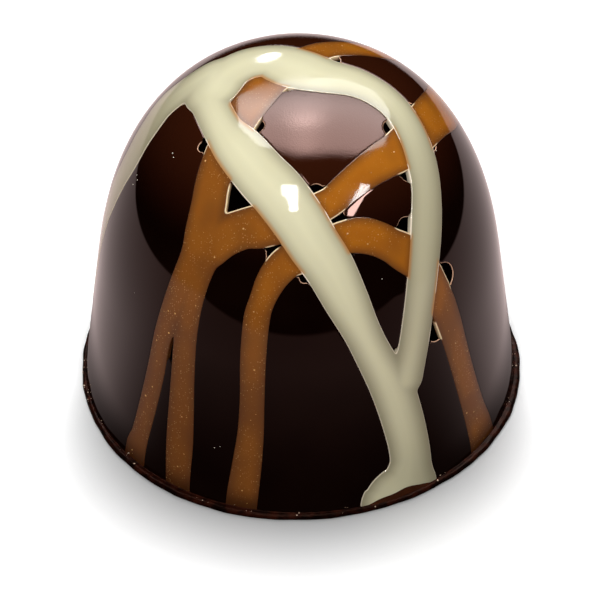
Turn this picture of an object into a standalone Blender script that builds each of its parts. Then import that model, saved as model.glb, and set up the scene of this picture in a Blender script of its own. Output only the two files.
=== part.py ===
"""Moulded chocolate praline: a tall dome cast in a cavity mould, closed with a thin foot.

The frame is +Z up, in metres, with the origin at the middle of the flat base.
The whole praline is one casting, so it is one solid: a drafted side that rounds
over into a slightly flattened dome, and the thin uneven foot that the closing
layer of chocolate leaves around the mouth of the mould.
"""

import math

import bmesh
import bpy

# Driving dimensions, in metres and degrees.
MOULD_RADIUS = 0.0140  # of the cavity at its mouth
HEIGHT = 0.0232  # from the flat base to the top of the dome
DRAFT_DEG = 8.0  # lean of the side, which lets the praline drop out of the mould
SHOULDER_HEIGHT = 0.0093  # where the side begins to round over
DOME_POWER = 2.65  # 2 is an ellipse; more gives a squarer shoulder and a flatter top
FOOT_OVERHANG = 0.0003  # of the foot past the mouth of the mould
FOOT_THICKNESS = 0.00056
FOOT_NOSE = 0.00022  # half-width of the foot's rounded edge
FOOT_FILLET = 0.00012  # between the foot's top and the side

# The foot's outline is uneven: (waves around the foot, their share of FOOT_WAVE).
FOOT_WAVE = 0.00012
FOOT_WAVES = ((3, 0.6), (4, 0.4))
FOOT_WAVE_PEAK_DEG = 236.0  # where the waves agree and the foot is widest
FOOT_TOP_WAVE = 0.00007  # rise and fall of the foot's upper edge
FOOT_TOP_WAVES = ((2, 0.5), (5, 0.5))

# How finely the round stretches are drawn.
SEGMENTS = 96
DOME_STEPS = 26
SIDE_STEPS = 5
NOSE_STEPS = 6
FILLET_STEPS = 3
WELD_DISTANCE = 1e-7

CHOCOLATE_COLOUR = (0.020, 0.008, 0.006, 1.0)
CHOCOLATE_ROUGHNESS = 0.14

FOOT_RADIUS = MOULD_RADIUS + FOOT_OVERHANG


def body_radius(z):
    """Radius of the moulded body at height z: the drafted side, rounded over by a superellipse."""
    side = MOULD_RADIUS - z * math.tan(math.radians(DRAFT_DEG))
    share = max(0.0, (z - SHOULDER_HEIGHT) / (HEIGHT - SHOULDER_HEIGHT))
    return side * (1.0 - min(1.0, share) ** DOME_POWER) ** (1.0 / DOME_POWER)


def foot_profile():
    """(radius, height) points from the top of the fillet, round the nose, to the flat base."""
    half_height = FOOT_THICKNESS / 2
    nose_radius = FOOT_RADIUS - FOOT_NOSE
    fillet_top = FOOT_THICKNESS + FOOT_FILLET
    wall = body_radius(fillet_top)
    points = []
    for i in range(FILLET_STEPS + 1):
        turn = math.pi / 2 * i / FILLET_STEPS
        points.append(
            (
                wall + FOOT_FILLET * (1 - math.cos(turn)),
                fillet_top - FOOT_FILLET * math.sin(turn),
            )
        )
    for i in range(NOSE_STEPS + 1):
        turn = math.pi / 2 - math.pi * i / NOSE_STEPS
        points.append(
            (
                nose_radius + FOOT_NOSE * math.cos(turn),
                half_height + half_height * math.sin(turn),
            )
        )
    return points


def dome_profile():
    """(radius, height) points from the top of the dome down to just above the foot."""
    points = []
    for i in range(DOME_STEPS + 1):
        turn = math.pi / 2 * (1 - i / DOME_STEPS)
        z = SHOULDER_HEIGHT + (HEIGHT - SHOULDER_HEIGHT) * math.sin(turn)
        points.append((body_radius(z), z))
    side_foot = FOOT_THICKNESS + FOOT_FILLET
    for i in range(1, SIDE_STEPS):
        z = SHOULDER_HEIGHT + (side_foot - SHOULDER_HEIGHT) * i / SIDE_STEPS
        points.append((body_radius(z), z))
    return points


def profile():
    """The whole outline, from the axis at the top, down the side, to the axis at the base."""
    return [*dome_profile(), *foot_profile(), (0.0, 0.0)]


def wave(waves, angle):
    """A sum of cosines around the foot, 1 at most, that peaks at FOOT_WAVE_PEAK_DEG."""
    turn = angle - math.radians(FOOT_WAVE_PEAK_DEG)
    return sum(share * math.cos(count * turn) for count, share in waves)


def make_foot_uneven(mesh):
    """Pushes the foot in and out and its upper edge up and down, and leaves the moulded side true."""
    side_radius = body_radius(FOOT_THICKNESS + FOOT_FILLET)
    for vertex in mesh.verts:
        radius = math.hypot(vertex.co.x, vertex.co.y)
        outwards = (radius - side_radius) / (FOOT_RADIUS - side_radius)
        if outwards <= 0 or vertex.co.z > FOOT_THICKNESS + FOOT_FILLET:
            continue
        angle = math.atan2(vertex.co.y, vertex.co.x)
        stretch = 1 + outwards * FOOT_WAVE * wave(FOOT_WAVES, angle) / radius
        rise = vertex.co.z / FOOT_THICKNESS * outwards
        vertex.co.x *= stretch
        vertex.co.y *= stretch
        vertex.co.z += rise * FOOT_TOP_WAVE * wave(FOOT_TOP_WAVES, angle)


def chocolate():
    """Glossy tempered dark chocolate."""
    material = bpy.data.materials.new("dark_chocolate")
    material.use_nodes = True
    shader = material.node_tree.nodes["Principled BSDF"]
    shader.inputs["Base Color"].default_value = CHOCOLATE_COLOUR
    shader.inputs["Roughness"].default_value = CHOCOLATE_ROUGHNESS
    shader.inputs["Metallic"].default_value = 0.0
    return material


def make_praline():
    """Spins the outline about Z, welds the seam and the two poles, and makes the foot uneven."""
    mesh = bmesh.new()
    corners = [mesh.verts.new((radius, 0.0, z)) for radius, z in profile()]
    edges = [mesh.edges.new(pair) for pair in zip(corners, corners[1:])]
    bmesh.ops.spin(
        mesh,
        geom=corners + edges,
        cent=(0, 0, 0),
        axis=(0, 0, 1),
        angle=2 * math.pi,
        steps=SEGMENTS,
    )
    bmesh.ops.remove_doubles(mesh, verts=mesh.verts, dist=WELD_DISTANCE)
    bmesh.ops.recalc_face_normals(mesh, faces=mesh.faces)
    make_foot_uneven(mesh)
    data = bpy.data.meshes.new("moulded_praline")
    mesh.to_mesh(data)
    mesh.free()
    data.shade_smooth()
    data.materials.append(chocolate())
    praline = bpy.data.objects.new("moulded_praline", data)
    bpy.context.scene.collection.objects.link(praline)
    return praline


def main():
    for leftover in list(bpy.data.objects):
        bpy.data.objects.remove(leftover)
    make_praline()


main()
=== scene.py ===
"""Looks of a moulded chocolate praline, laid out as a Blender add-on and run as a script.

The casting, its channels and air pockets, the white and caramel streaks that lie flush in it,
and the closing layer with its thin foot are surfaces worked out with numpy. Everything on the
dome is placed by a bearing round the axis (0 is +X, 90 is +Y) and a distance from the top,
measured along the skin. Lengths are metres; the plans of streaks and pockets are in millimetres.
"""

import math

import bpy
import numpy as np
from bpy.props import FloatProperty, FloatVectorProperty, IntProperty, PointerProperty
from mathutils import Matrix, Vector


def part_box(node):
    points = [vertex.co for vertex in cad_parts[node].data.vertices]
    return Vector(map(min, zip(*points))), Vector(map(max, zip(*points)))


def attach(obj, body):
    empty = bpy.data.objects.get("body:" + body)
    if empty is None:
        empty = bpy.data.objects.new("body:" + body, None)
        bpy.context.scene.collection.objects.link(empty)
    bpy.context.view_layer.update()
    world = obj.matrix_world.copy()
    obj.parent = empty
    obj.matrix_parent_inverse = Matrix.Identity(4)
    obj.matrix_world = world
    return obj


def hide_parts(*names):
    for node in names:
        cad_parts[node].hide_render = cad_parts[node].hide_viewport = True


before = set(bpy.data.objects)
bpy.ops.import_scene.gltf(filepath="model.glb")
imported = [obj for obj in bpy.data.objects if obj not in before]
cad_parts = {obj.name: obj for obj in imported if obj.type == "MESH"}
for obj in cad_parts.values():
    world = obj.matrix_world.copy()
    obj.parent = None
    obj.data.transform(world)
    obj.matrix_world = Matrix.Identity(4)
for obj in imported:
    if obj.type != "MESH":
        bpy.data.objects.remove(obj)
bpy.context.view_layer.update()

bl_info = {
    "name": "Moulded praline",
    "version": (1, 0, 0),
    "blender": (4, 5, 0),
    "location": "3D View > Sidebar > Praline",
    "description": "Builds a moulded praline with flush white and caramel streaks",
    "category": "Add Mesh",
}

MM = 0.001
NODE = "moulded_praline"
LOW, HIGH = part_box(NODE)

# The casting's profile, as the solid has it. Only the foot is drawn thinner than the solid's,
# which stands 0.56 mm high.
FOOT_OVERHANG = 0.3 * MM
HEIGHT = HIGH.z - LOW.z
MOULD_RADIUS = round((HIGH.x - LOW.x + HIGH.y - LOW.y) / 4 - FOOT_OVERHANG, 4)
DRAFT = math.radians(8.0)
SHOULDER_HEIGHT = 9.3 * MM
DOME_POWER = 2.65
FOOT_RADIUS = MOULD_RADIUS + FOOT_OVERHANG
FOOT_THICKNESS = 0.44 * MM
FOOT_NOSE = 0.22 * MM
FOOT_FILLET = 0.08 * MM
FOOT_WAVE = 0.12 * MM
FOOT_WAVES = ((3, 0.6), (4, 0.4))
FOOT_WAVE_PEAK = math.radians(236)
FOOT_TOP_WAVE = 0.07 * MM
FOOT_TOP_WAVES = ((2, 0.5), (5, 0.5))

# Streaks: stations of (bearing in degrees, distance from the top in mm, width in mm).
WHITE_RUNS = {
    "diagonal": (
        (162, 5.5, 3.6), (178, 5.2, 3.7), (190, 5.5, 2.5), (217, 5.8, 2.4), (235, 6.35, 3.0),
        (251, 7.4, 3.2), (261, 8.4, 3.3), (270, 10.0, 3.25), (275, 11.4, 3.15), (279.5, 12.8, 3.0),
        (284, 15.0, 2.7), (288, 17.3, 2.3), (291.5, 19.4, 2.35), (296.2, 22.2, 2.75),
        (298.3, 24.3, 2.8), (299.6, 26.2, 2.8), (299.9, 27.6, 2.95), (299, 28.7, 3.5),
        (298.3, 29.5, 4.1), (296.4, 30.3, 5.4),
    ),
    "loop": (
        (178, 5.2, 3.8), (166, 4.75, 3.8), (147, 3.85, 3.9), (126, 2.55, 3.7), (95, 1.15, 4.1),
        (15, 1.6, 3.4), (1, 3.35, 2.95), (353, 4.9, 2.65), (345.5, 6.4, 2.5), (337, 7.9, 2.5),
        (330, 9.3, 2.5), (324, 10.7, 2.4), (317, 12.5, 2.5), (311, 14.7, 2.4), (306.5, 17.1, 2.3),
        (303, 19.6, 2.3), (300, 21.6, 2.5),
    ),
    "round_the_back": (
        (161, 5.9, 3.5), (168, 7.5, 3.2), (172, 9.0, 3.3), (177.2, 10.06, 3.1), (180.5, 11.1, 2.95),
        (183.1, 12.1, 2.8), (183.8, 13.1, 2.6), (183.6, 15.1, 2.4), (182.9, 16.5, 2.2),
        (181, 19.0, 2.2), (177, 23.0, 2.2), (169, 26.5, 2.3), (158, 28.2, 2.6),
        (147, 26.0, 2.3), (138, 21.0, 2.1), (128, 15.5, 2.2), (116, 11.4, 2.4), (100, 9.2, 2.6),
        (84, 9.4, 2.5), (72, 11.8, 2.3), (64, 16.0, 2.2), (58, 22.0, 2.2), (54, 27.0, 2.4),
        (52, 30.3, 2.7),
    ),
}
CARAMEL_RUNS = {
    "over_the_top": (
        (100, 30.3, 2.2), (98, 26.0, 1.9), (92, 22.0, 1.8), (80, 18.0, 2.0), (66, 15.0, 2.3),
        (54, 12.0, 2.6), (48, 9.0, 2.5), (47, 6.9, 2.3), (53, 5.2, 2.2), (66, 3.5, 2.1),
        (92, 1.7, 2.3), (187, 1.7, 2.5), (214, 3.25, 2.5), (222.6, 5.0, 2.5), (230, 7.9, 2.4),
        (232, 9.1, 2.35), (234, 10.2, 2.4), (235.5, 11.8, 2.5), (235.7, 13.2, 2.3),
        (234.0, 14.6, 2.0), (231.0, 17.2, 1.7), (228.4, 19.5, 1.35), (226.9, 22.4, 1.42),
        (225, 25.2, 1.45), (223, 27.8, 1.5), (221.8, 29.1, 1.8), (221.5, 30.2, 1.9),
    ),
    "prong": (
        (239, 12.2, 2.1), (237.1, 15.0, 1.7), (236.3, 18.0, 1.62), (236.3, 21.5, 1.72),
        (236.4, 23.6, 1.85), (236.5, 26.4, 2.0), (236.5, 28.4, 1.9), (236.7, 30.2, 1.8),
    ),
    "cross": (
        (36, 30.3, 2.6), (37, 25.0, 2.3), (36, 20.0, 2.3), (32, 15.5, 2.7), (25, 12.0, 3.0),
        (10, 9.9, 3.0), (357, 8.7, 2.8), (340, 8.0, 2.6), (324, 7.8, 2.5), (314, 7.7, 2.3),
        (302.5, 7.85, 2.05), (290, 8.45, 1.85), (281.5, 9.1, 1.8), (268, 9.9, 2.2),
        (257, 10.4, 2.6), (250, 10.8, 2.4), (244, 11.5, 2.4), (240.5, 12.4, 2.2),
    ),
    "right": (
        (312, 15.6, 1.6), (314.7, 17.2, 2.0), (316.6, 19.0, 2.0), (318.7, 21.4, 1.9),
        (321, 24.2, 1.9), (323.4, 27.0, 2.1), (325.4, 29.1, 2.5), (326, 30.2, 2.7),
    ),
    "bow": (
        (315, 16.6, 1.6), (312, 15.0, 2.0), (306, 13.3, 2.3), (302, 12.5, 2.1), (297.5, 11.8, 2.1),
        (292, 11.3, 2.15), (286, 11.2, 2.0), (277, 11.6, 2.0), (270, 12.1, 2.0),
        (265.5, 12.5, 2.0), (261.5, 13.5, 1.8), (258.8, 14.9, 1.55), (257.5, 16.2, 1.6),
        (257, 18.9, 1.6), (257, 21.8, 1.55), (256.8, 24.3, 1.65), (256, 26.7, 1.85),
        (255, 29.1, 2.0), (254.7, 30.2, 2.0),
    ),
}
# Air pockets left in the corners between streaks: (bearing, distance from the top, radius in mm).
POCKETS = (
    (238, 4.55, 0.42), (277.5, 8.35, 0.5), (284, 9.9, 0.5), (330.5, 6.6, 0.62),
    (319.5, 9.15, 0.45), (309, 11.8, 0.6), (244.5, 9.3, 0.9), (261.0, 12.0, 0.36),
    (271.5, 13.4, 0.28), (216.5, 7.4, 0.35), (236, 1.1, 0.25), (45, 3.1, 0.4), (354.5, 7.1, 0.3),
    (341.5, 9.2, 0.35), (317.5, 16.0, 0.9), (311.5, 19.3, 0.6),
)
# Dust on the skin: (bearing, distance from the top, radius in mm).
SKIN_SPECKS = (
    (205, 9.0, 0.05), (207, 9.1, 0.035), (195, 12.0, 0.035), (197, 12.1, 0.04), (196, 12.6, 0.04),
    (341, 9.6, 0.04), (296, 14.2, 0.035), (247, 26.0, 0.035), (248.5, 25.8, 0.025),
    (300, 17.6, 0.02), (215, 18.0, 0.02),
)

NEAR_ZERO = 1e-9
HOLLOW_FINISH = 1  # the casting's second material, inside channels and pockets
NEARBY = 1.5 * MM  # a streak's field is only worked out this close to its edge
CURVE_STEPS = 7  # straight pieces in each span of a streak's route


# ---------------------------------------------------------------- the skin

def body_radius(z):
    """Radius at height z: the drafted side, rounded over by a superellipse above the shoulder."""
    side = MOULD_RADIUS - z * math.tan(DRAFT)
    share = np.clip((z - SHOULDER_HEIGHT) / (HEIGHT - SHOULDER_HEIGHT), 0.0, 1.0)
    return side * (1.0 - share**DOME_POWER) ** (1.0 / DOME_POWER)


def make_skin_table(samples=6000):
    """Heights, radii and slopes against the distance along the skin from the top to the base."""
    heights = HEIGHT * np.cos(np.linspace(0.0, math.pi / 2, samples))
    radii = body_radius(heights)
    steps = np.hypot(np.diff(heights), np.diff(radii))
    distance = np.concatenate([[0.0], np.cumsum(steps)])
    return distance, radii, heights, np.gradient(radii, distance), np.gradient(heights, distance)


SKIN = make_skin_table()
SKIN_LENGTH = SKIN[0][-1]
SKIN_FOOT = float(np.interp(-FOOT_THICKNESS, -SKIN[2], SKIN[0]))


def flat_point(bearing, distance):
    """A place on the skin laid flat: it keeps its bearing and its distance from the top."""
    turn = np.radians(bearing)
    return np.stack([distance * np.cos(turn), distance * np.sin(turn)], -1)


def on_skin(flat):
    """The point and the outward normal on the dome for each place on the flat skin."""
    distance = np.hypot(flat[:, 0], flat[:, 1])
    away = flat / np.maximum(distance, NEAR_ZERO)[:, None]
    radius, height, spread, drop = (np.interp(distance, SKIN[0], row) for row in SKIN[1:])
    points = np.column_stack([away * radius[:, None], height])
    normals = np.column_stack([-away * drop[:, None], spread])
    normals[distance < NEAR_ZERO * 10] = (0.0, 0.0, 1.0)
    return points, normals / np.linalg.norm(normals, axis=1, keepdims=True)


def disc_grid(rings, reach):
    """A square grid folded into a disc: ring k has 8k points, all k / rings of reach away."""
    steps = np.arange(-rings, rings + 1) / rings
    a, b = (grid.ravel() for grid in np.meshgrid(steps, steps, indexing="ij"))
    wide = np.abs(a) > np.abs(b)
    run = np.where(wide, a, b)
    safe = np.where(run == 0, 1.0, run)
    turn = np.where(wide, math.pi / 4 * b / safe, math.pi / 2 - math.pi / 4 * a / safe)
    flat = reach * np.stack([run * np.cos(turn), run * np.sin(turn)], -1)
    side = 2 * rings + 1
    corner = (np.arange(side - 1)[:, None] * side + np.arange(side - 1)).ravel()
    first = np.column_stack([corner, corner + side, corner + side + 1])
    second = np.column_stack([corner, corner + side + 1, corner + 1])
    return flat, np.vstack([first, second])


# ---------------------------------------------------------------- streak and pocket fields

def smooth_curve(points, steps=CURVE_STEPS):
    """Catmull-Rom curve through the points: each span is a cubic set by its four nearest points."""
    padded = np.vstack([2 * points[0] - points[1], points, 2 * points[-1] - points[-2]])
    t = (np.arange(steps) / steps)[None, :, None]
    a, b, c, d = (padded[i : len(padded) - 3 + i, None, :] for i in range(4))
    spans = b + 0.5 * t * ((c - a) + t * ((2 * a - 5 * b + 4 * c - d) + t * (3 * b - a - 3 * c + d)))
    return np.vstack([spans.reshape(-1, points.shape[1]), points[-1:]])


def run_field(points, stations):
    """How far each point lies inside one streak: half its width there, less the distance to it.

    Each span of the route is only measured for the points in a box round it.
    """
    plan = np.array(stations, float)
    flat = flat_point(plan[:, 0], plan[:, 1] * MM)
    curve = smooth_curve(np.column_stack([flat, plan[:, 2] * MM / 2]))
    route = on_skin(curve[:, :2])[0]
    inside = np.full(len(points), -HEIGHT)
    for first in range(0, len(route) - 1, CURVE_STEPS):
        span = slice(first, first + CURVE_STEPS + 1)
        piece, halves = route[span], curve[span, 2]
        margin = halves.max() + NEARBY
        near = ((points > piece.min(0) - margin) & (points < piece.max(0) + margin)).all(axis=1)
        close, best = points[near], inside[near]
        for start, end, half, next_half in zip(piece, piece[1:], halves, halves[1:]):
            along = end - start
            share = np.clip((close - start) @ along / max(along @ along, NEAR_ZERO**2), 0.0, 1.0)
            away = close - start - share[:, None] * along
            gap = np.sqrt(np.einsum("ij,ij->i", away, away))
            np.maximum(best, half + (next_half - half) * share - gap, out=best)
        inside[near] = best
    return inside


def soft_maximum(a, b, blend):
    """The larger of two fields, rounded over within blend so that streaks join in a fillet."""
    share = np.clip(0.5 + 0.5 * (a - b) / blend, 0.0, 1.0)
    return b * (1 - share) + a * share + blend * share * (1 - share)


def streak_field(points, runs):
    """How far each point lies inside the joined streaks of one chocolate."""
    joined = None
    for stations in runs.values():
        inside = run_field(points, stations)
        joined = inside if joined is None else soft_maximum(joined, inside, 0.3 * MM)
    return joined


def white_field(points):
    """How far each point lies inside the white streaks."""
    return streak_field(points, WHITE_RUNS)


def caramel_field(points):
    """How far each point lies inside the caramel streaks."""
    return streak_field(points, CARAMEL_RUNS)


def pocket_field(points):
    """How far each point lies inside the nearest air pocket."""
    plan = np.array(POCKETS)
    centres = on_skin(flat_point(plan[:, 0], plan[:, 1] * MM))[0]
    gaps = np.linalg.norm(points[:, None, :] - centres[None], axis=2)
    return (plan[:, 2] * MM - gaps).max(axis=1)


# ---------------------------------------------------------------- cutting and closing surfaces

def cut_triangles(flat, triangles, inside, field):
    """Cuts the flat triangles along the line where the field is 0.

    Returns the points with the new ones on that line added, the triangles on the inside and
    those on the outside. Each new point starts on a straight line between two old ones and is
    then moved along the field's slope until the field is 0 there.
    """
    within = inside > 0
    count = within[triangles].sum(axis=1)
    odd = np.where(count == 1, within[triangles].argmax(axis=1), (~within[triangles]).argmax(axis=1))
    mixed = (count == 1) | (count == 2)
    order = (odd[mixed, None] + np.arange(3)) % 3
    tip, left, right = np.take_along_axis(triangles[mixed], order, axis=1).T
    pairs = np.sort(np.concatenate([np.column_stack([tip, left]), np.column_stack([tip, right])]), 1)
    unique, index = np.unique(pairs, axis=0, return_inverse=True)
    a, b = unique.T
    share = (inside[a] / (inside[a] - inside[b]))[:, None]
    new = settle_on_zero(flat[a] + share * (flat[b] - flat[a]), field)
    index = index.ravel() + len(flat)
    near, far = index[: len(tip)], index[len(tip) :]
    tips = np.column_stack([tip, near, far])
    rests = np.vstack([np.column_stack([near, left, right]), np.column_stack([near, right, far])])
    lone = count[mixed] == 1
    twice = np.concatenate([lone, lone])
    kept = np.vstack([triangles[count == 3], tips[lone], rests[~twice]])
    other = np.vstack([triangles[count == 0], tips[~lone], rests[twice]])
    return np.vstack([flat, new]), kept, other


def settle_on_zero(flat, field, nudge=0.01 * MM, most=0.06 * MM):
    """Two Newton steps along the field's slope on the flat skin, each of limited length."""
    for _ in range(2):
        value = field(on_skin(flat)[0])
        slope_x = (field(on_skin(flat + (nudge, 0.0))[0]) - value) / nudge
        slope_y = (field(on_skin(flat + (0.0, nudge))[0]) - value) / nudge
        steep = np.maximum(slope_x**2 + slope_y**2, 0.05)
        step = -np.column_stack([slope_x, slope_y]) * (value / steep)[:, None]
        length = np.linalg.norm(step, axis=1, keepdims=True)
        flat = flat + step * np.minimum(1.0, most / np.maximum(length, NEAR_ZERO))
    return flat


def border_of(triangles):
    """The directed edges that only one triangle uses, with the surface on their left."""
    edges = np.concatenate([triangles[:, [0, 1]], triangles[:, [1, 2]], triangles[:, [2, 0]]])
    _, index, count = np.unique(np.sort(edges, 1), axis=0, return_inverse=True, return_counts=True)
    return edges[count[index.ravel()] == 1]


def outward_at(border, points, normals):
    """At each border point, the direction in the surface that leads away from it."""
    along = points[border[:, 1]] - points[border[:, 0]]
    along /= np.maximum(np.linalg.norm(along, axis=1, keepdims=True), NEAR_ZERO)
    aside = np.cross(along, (normals[border[:, 0]] + normals[border[:, 1]]) / 2)
    total = np.zeros_like(points)
    np.add.at(total, border[:, 0], aside)
    np.add.at(total, border[:, 1], aside)
    return total / np.maximum(np.linalg.norm(total, axis=1, keepdims=True), NEAR_ZERO)


class Surface:
    """Points, normals, triangles and named per-point values, gathered before the mesh is made."""

    def __init__(self):
        self.points, self.normals, self.triangles, self.values = [], [], [], {}
        self.finishes = []
        self.count = 0

    def add_points(self, points, normals, **values):
        """Adds points and returns the number of the first."""
        first = self.count
        self.points.append(points)
        self.normals.append(normals)
        for name in set(self.values) | set(values):
            rows = self.values.setdefault(name, [np.zeros(first)])
            rows.append(np.broadcast_to(values.get(name, 0.0), len(points)))
        self.count += len(points)
        return first

    def add_triangles(self, triangles, finish=0):
        """Adds triangles in the finish that has this number among the piece's materials."""
        self.triangles.append(triangles)
        self.finishes.append(np.full(len(triangles), finish))

    def join_rows(self, border, upper, lower, finish=0):
        """Two triangles between each border edge on the upper row and on the lower row."""
        a, b = border.T
        self.add_triangles(np.column_stack([upper[b], upper[a], lower[a]]), finish)
        self.add_triangles(np.column_stack([upper[b], lower[a], lower[b]]), finish)

    def make(self, name, *materials):
        """The object: one smooth mesh with these normals, at the origin."""
        points = np.vstack(self.points)
        normals = np.vstack(self.normals)
        triangles = np.vstack(self.triangles)
        used = np.unique(triangles)
        place = np.zeros(len(points), int)
        place[used] = np.arange(len(used))
        mesh = bpy.data.meshes.new(name)
        mesh.from_pydata(points[used], [], place[triangles].tolist())
        for value_name, rows in self.values.items():
            layer = mesh.attributes.new(value_name, "FLOAT", "POINT")
            layer.data.foreach_set("value", np.concatenate(rows)[used].astype(np.float32))
        mesh.shade_smooth()
        lengths = np.linalg.norm(normals, axis=1, keepdims=True)
        mesh.normals_split_custom_set_from_vertices((normals / np.maximum(lengths, NEAR_ZERO))[used])
        for material in materials:
            mesh.materials.append(material)
        mesh.polygons.foreach_set("material_index", np.concatenate(self.finishes).astype(np.int32))
        piece = bpy.data.objects.new(name, mesh)
        bpy.context.scene.collection.objects.link(piece)
        return piece


def facing_normals(points, triangles):
    """At each point, the sum of the normals of its triangles, each as long as twice its area."""
    corners = points[triangles]
    facing = np.cross(corners[:, 1] - corners[:, 0], corners[:, 2] - corners[:, 0])
    normals = np.zeros_like(points)
    for corner in range(3):
        np.add.at(normals, triangles[:, corner], facing)
    return normals


def lean(normals, outward, degrees):
    """Normals that lean from the surface's own towards its outward direction."""
    turn = math.radians(degrees)
    return normals * math.cos(turn) + outward * math.sin(turn)


def keep_border(border, flat, reach):
    """Drops the border edges that lie on the outer ring of the grid."""
    distance = np.hypot(flat[:, 0], flat[:, 1])
    outer = distance > reach - 1e-6
    return border[~(outer[border[:, 0]] & outer[border[:, 1]])]


# ---------------------------------------------------------------- the casting

def casting_surface(settings):
    """The dome with a channel under each streak and a recess in each pocket.

    The skin is the disc grid on the dome. Where the largest of the streak and pocket fields
    comes within the groove's width of 0 it is cut, dips by the square of the way across the
    groove, turns down over a small lip and runs back to the channel's floor, which is the rest
    of the skin sunk by the channel's depth. A fan closes it inside the closing layer.
    """
    groove = settings.groove_width * MM
    depth = settings.channel_depth * MM
    reach = SKIN_LENGTH - 0.2 * MM

    def clear_skin(points):
        nearest = np.maximum(white_field(points), caramel_field(points))
        return -np.maximum(nearest, pocket_field(points)) - groove

    flat, triangles = disc_grid(settings.casting_rings, reach)
    inside = clear_skin(on_skin(flat)[0])
    flat, top, floor = cut_triangles(flat, triangles, inside, clear_skin)
    points, normals = on_skin(flat)
    border = border_of(top)
    inner_border = keep_border(border, flat, reach)
    outward = outward_at(inner_border, points, normals)

    whites, caramels, pockets = white_field(points), caramel_field(points), pocket_field(points)
    by_white = whites >= np.maximum(caramels, pockets)
    by_pocket = pockets > np.maximum(whites, caramels)
    dip = np.where(by_white, settings.white_dip, settings.caramel_dip) * MM
    dip = np.where(by_pocket, 0.015 * MM, dip)[:, None]

    surface = Surface()
    surface.add_points(points, normals, recess=0.0, rim=0.0)
    surface.add_triangles(top)
    row = np.arange(len(points))
    for share in (0.35, 0.7, 1.0):
        tilt = np.arctan(2 * dip * share / groove)
        leaning = normals * np.cos(tilt) + outward * np.sin(tilt)
        placed = points + outward * groove * share - normals * dip * share**2
        # The rim value marks where the dark material paints a pale highlight on a pocket's lip.
        glow = by_pocket * (share > 0.9)
        row = join_row(surface, inner_border, row, placed, leaning, recess=0.0, rim=glow)
    # The recess value marks where the dark material paints black shade down the walls.
    for out, down, degrees in ((0.012, 0.012, 55), (0.016, 0.05, 88)):
        placed = points + outward * (groove + out * MM) - normals * (dip + down * MM)
        row = join_row(
            surface, inner_border, row, placed, lean(normals, outward, degrees),
            recess=0.5, rim=by_pocket * 1.0,
        )
    sunk = surface.add_points(points - normals * depth, normals, recess=1.0, rim=0.0)
    surface.join_rows(inner_border, row, sunk + np.arange(len(points)), HOLLOW_FINISH)
    surface.add_triangles(floor + sunk, HOLLOW_FINISH)
    close_with_fan(surface, border, floor, flat, reach, sunk)
    return surface


def join_row(surface, border, upper, points, normals, **values):
    """Adds a row of points below the last one and the triangles between them."""
    lower = surface.add_points(points, normals, **values) + np.arange(len(points))
    surface.join_rows(border, upper, lower)
    return lower


def close_with_fan(surface, border, floor, flat, reach, sunk):
    """Closes the open foot of the casting with triangles to one point on the axis."""
    distance = np.hypot(flat[:, 0], flat[:, 1])
    outer = distance > reach - 1e-6
    top_edges = border[outer[border[:, 0]] & outer[border[:, 1]]]
    floor_border = border_of(floor)
    floor_edges = floor_border[outer[floor_border[:, 0]] & outer[floor_border[:, 1]]] + sunk
    edges = np.vstack([top_edges, floor_edges])
    low = float(np.interp(reach, SKIN[0], SKIN[2]))
    centre = surface.add_points(np.array([[0.0, 0.0, low]]), np.array([[0.0, 0.0, -1.0]]), recess=1.0)
    fan = np.column_stack([edges[:, 1], edges[:, 0], np.full(len(edges), centre)])
    surface.add_triangles(fan, HOLLOW_FINISH)


# ---------------------------------------------------------------- the streaks

def streak_surface(settings, field, rise, thickness, backing):
    """A flush inlay: the skin inside the field, raised by rise, with a rounded edge and a back.

    The top ends where the field equals the edge's radius. From there a quarter circle turns down
    to the wall, which runs to the back, the same triangles sunk by the thickness and turned
    over. The value edge_mm is the field, and backing_mm how far what lies behind reaches.
    """
    radius = settings.edge_radius * MM

    def top_field(points):
        return field(points) - radius

    reach = SKIN_FOOT + 0.1 * MM
    flat, triangles = disc_grid(settings.streak_rings, reach)
    inside = top_field(on_skin(flat)[0])
    close_by = inside[triangles].max(axis=1) > 0
    flat, top, _ = cut_triangles(flat, triangles[close_by], inside, top_field)
    used = np.unique(top)
    place = np.zeros(len(flat), int)
    place[used] = np.arange(len(used))
    flat, top = flat[used], place[top]
    points, normals = on_skin(flat)
    edge = np.clip(field(points) / MM, 0.0, 4.0)
    behind = np.clip(backing(points) / MM, -1.0, 1.0)
    # The lip value marks a streak's edge that faces an air pocket, where the materials paint a pale
    # highlight.
    lip = np.clip(pocket_field(points) / (0.15 * MM) + 1.6, 0.0, 1.0)
    border = border_of(top)
    outward = outward_at(border, points, normals)

    surface = Surface()
    surface.add_points(points + normals * rise, normals, edge_mm=edge, backing_mm=behind, lip=lip)
    surface.add_triangles(top)
    row = np.arange(len(points))
    for degrees in (25, 50, 75, 90):
        turn = math.radians(degrees)
        placed = points + outward * radius * math.sin(turn)
        placed = placed + normals * (rise - radius * (1 - math.cos(turn)))
        row = join_row(
            surface, border, row, placed, lean(normals, outward, degrees),
            edge_mm=0.0, backing_mm=behind, lip=lip,
        )
    placed = points + outward * radius - normals * thickness
    row = join_row(surface, border, row, placed, outward, edge_mm=0.0, backing_mm=behind)
    back = surface.add_points(points - normals * thickness, -normals, edge_mm=0.0, backing_mm=behind)
    surface.join_rows(border, row, back + np.arange(len(points)))
    surface.add_triangles(top[:, ::-1] + back)
    return surface


# ---------------------------------------------------------------- the closing layer

def wave(waves, turn):
    """A sum of cosines round the foot that agree at its widest bearing."""
    return sum(share * np.cos(count * (turn - FOOT_WAVE_PEAK)) for count, share in waves)


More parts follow.
